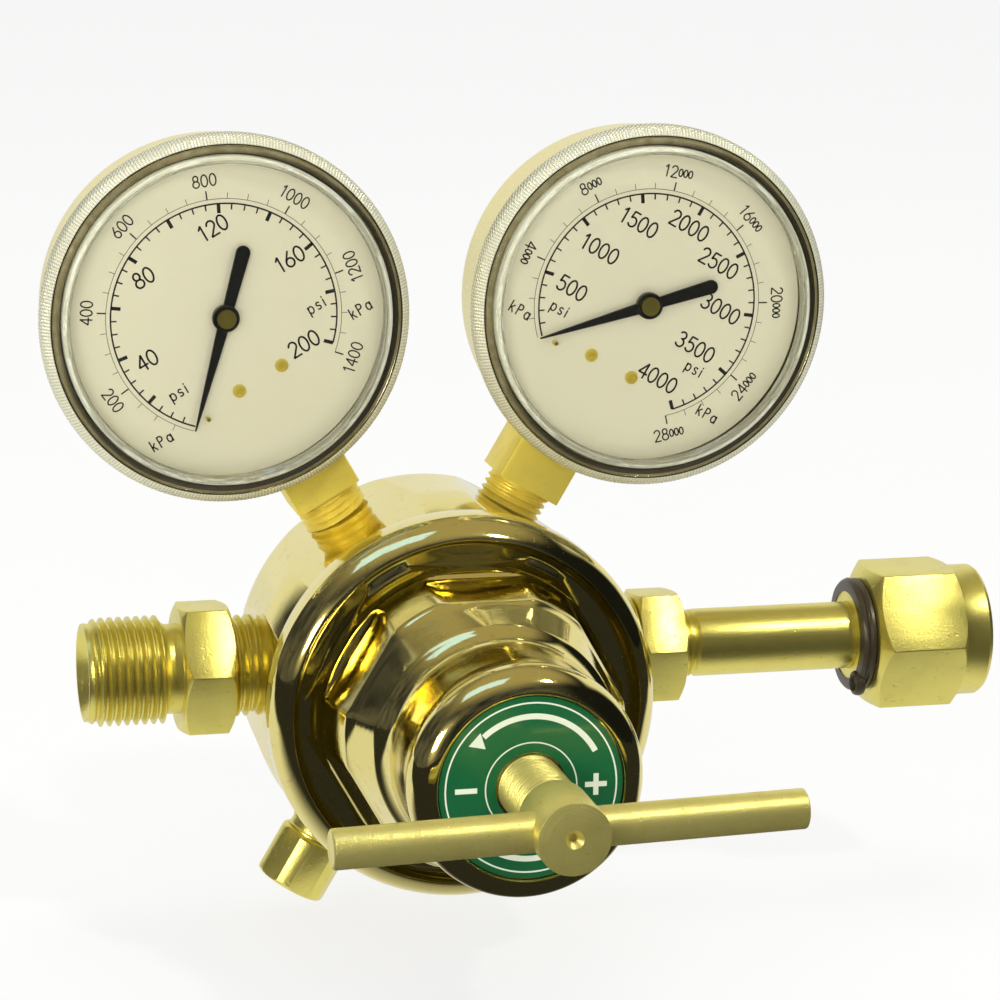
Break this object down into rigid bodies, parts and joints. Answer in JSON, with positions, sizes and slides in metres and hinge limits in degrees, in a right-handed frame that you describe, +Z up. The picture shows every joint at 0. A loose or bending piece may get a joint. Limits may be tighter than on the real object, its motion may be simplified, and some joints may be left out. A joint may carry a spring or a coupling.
{
  "type": "gas cylinder regulator",
  "caption": "Single-stage gas cylinder regulator: round forged body, domed bonnet with a tee-bar screw, twin dial gauges on top, cylinder nut at the inlet and threaded hose outlet",
  "frame": {"origin": "centre of the open mouth of the inlet nut, on the inlet axis", "axes": "+X out of the inlet nut, -Y the way the gauge faces and the adjusting screw point, +Z up towards the gauges"},
  "size_m": [0.2013, 0.1417, 0.1631],
  "materials": {
    "polished_brass": "mirror polished cast and forged brass",
    "turned_brass": "satin, turned and milled",
    "gold_lacquer": "drawn and lacquered gold colour",
    "nickel": "satin nickel with a fine knurl",
    "spring_steel": "oiled spring steel",
    "bright_steel": "bright turned steel",
    "dark_ring": "dark brown oxide",
    "rubber": "smooth moulded",
    "copper": "soft copper or bronze",
    "seat_plastic": "natural white",
    "clear": "clear moulded",
    "dial_white": "printed white",
    "black": "matt black",
    "green_label": "printed foil"
  },
  "bodies": {
    "regulator": {"body": "polished_brass", "bonnet": "polished_brass", "label_plate": "green_label", "diaphragm": "rubber", "slip_ring": "turned_brass", "nozzle": "turned_brass", "nozzle_gasket": "copper", "range_spring": "spring_steel", "poppet_spring": "spring_steel", "inlet_bushing": "turned_brass", "inlet_filter": "copper", "inlet_nipple": "turned_brass", "outlet_fitting": "turned_brass", "relief_housing": "turned_brass", "relief_spring": "spring_steel", "relief_plug": "turned_brass", "low_case": "gold_lacquer", "low_bezel": "nickel", "low_lens": "clear", "low_gasket": "rubber", "low_socket": "turned_brass", "low_tube": "copper", "low_tube_tip": "turned_brass", "low_movement": "turned_brass", "low_dial": "dial_white", "low_dial_screws": "turned_brass", "low_stop_pin": "turned_brass", "high_case": "gold_lacquer", "high_bezel": "nickel", "high_lens": "clear", "high_gasket": "rubber", "high_socket": "turned_brass", "high_tube": "copper", "high_tube_tip": "turned_brass", "high_movement": "turned_brass", "high_dial": "dial_white", "high_dial_screws": "turned_brass", "high_stop_pin": "turned_brass"},
    "spring_button": {"spring_button": "bright_steel"},
    "adjusting_screw": {"adjusting_screw": "turned_brass", "handle_bar": "turned_brass"},
    "diaphragm_plate": {"diaphragm_plate": "turned_brass"},
    "valve_poppet": {"valve_poppet": "turned_brass", "valve_seat": "seat_plastic"},
    "relief_poppet": {"relief_poppet": "copper"},
    "nut_keeper": {"nut_keeper": "dark_ring"},
    "inlet_nut": {"inlet_nut": "turned_brass"},
    "low_needle": {"low_arbor": "turned_brass", "low_pointer": "black"},
    "low_sector": {"low_sector": "turned_brass"},
    "low_link": {"low_link": "turned_brass"},
    "high_needle": {"high_arbor": "turned_brass", "high_pointer": "black"},
    "high_sector": {"high_sector": "turned_brass"},
    "high_link": {"high_link": "turned_brass"}
  },
  "joints": [
    {"name": "button_slide", "type": "slide", "parent": "regulator", "child": "spring_button", "axis": [0, 1, 0], "range_m": [-0.00508, 0.00508], "deforming": ["range_spring"]},
    {"name": "screw_turn", "type": "hinge", "parent": "spring_button", "child": "adjusting_screw", "pos_m": [-0.121, -0.1, 0], "axis": [0, 1, 0], "range_deg": [-1441, 1441]},
    {"name": "plate_slide", "type": "slide", "parent": "regulator", "child": "diaphragm_plate", "axis": [0, 1, 0], "range_m": [0, 0.0008], "stiffness_N_per_m": 4000, "deforming": ["range_spring", "diaphragm"]},
    {"name": "poppet_slide", "type": "slide", "parent": "regulator", "child": "valve_poppet", "axis": [0, 1, 0], "range_m": [0, 0.0008], "deforming": ["poppet_spring"]},
    {"name": "relief_lift", "type": "slide", "parent": "regulator", "child": "relief_poppet", "axis": [-0.5, 0, -0.866], "range_m": [0, 0.0008], "stiffness_N_per_m": 1500, "springref_m": -0.001, "deforming": ["relief_spring"]},
    {"name": "nut_slide", "type": "slide", "parent": "regulator", "child": "nut_keeper", "axis": [1, 0, 0], "range_m": [-0.03, 0]},
    {"name": "nut_spin", "type": "hinge", "parent": "nut_keeper", "child": "inlet_nut", "pos_m": [-0.02, 0, 0], "axis": [1, 0, 0], "continuous": true},
    {"name": "low_needle_turn", "type": "hinge", "parent": "regulator", "child": "low_needle", "pos_m": [-0.16435, -0.01, 0.07508], "axis": [0, 1, 0], "range_deg": [0, 270], "stiffness_Nm_per_rad": 0.0005},
    {"name": "low_sector_turn", "type": "hinge", "parent": "regulator", "child": "low_sector", "pos_m": [-0.1591, -0.01, 0.06599], "axis": [0, -1, 0], "range_deg": [0, 45]},
    {"name": "low_link_turn", "type": "hinge", "parent": "regulator", "child": "low_link", "pos_m": [-0.14049, -0.01, 0.07873], "axis": [0, 1, 0], "range_deg": [0, 12.12]},
    {"name": "high_needle_turn", "type": "hinge", "parent": "regulator", "child": "high_needle", "pos_m": [-0.07765, -0.01, 0.07508], "axis": [0, 1, 0], "range_deg": [0, 270], "stiffness_Nm_per_rad": 0.0005},
    {"name": "high_sector_turn", "type": "hinge", "parent": "regulator", "child": "high_sector", "pos_m": [-0.0829, -0.01, 0.06599], "axis": [0, -1, 0], "range_deg": [0, 45]},
    {"name": "high_link_turn", "type": "hinge", "parent": "regulator", "child": "high_link", "pos_m": [-0.06256, -0.01, 0.05624], "axis": [0, 1, 0], "range_deg": [0, 12.12]}
  ],
  "couplings": [
    {"joint": "screw_turn", "follows": "button_slide", "rad_per_m": 4947.4},
    {"joint": "poppet_slide", "follows": "plate_slide", "ratio": 1},
    {"joint": "low_sector_turn", "follows": "low_needle_turn", "ratio": 0.16667},
    {"joint": "low_link_turn", "follows": "low_needle_turn", "ratio": 0.044867},
    {"joint": "high_sector_turn", "follows": "high_needle_turn", "ratio": 0.16667},
    {"joint": "high_link_turn", "follows": "high_needle_turn", "ratio": 0.044867}
  ]
}
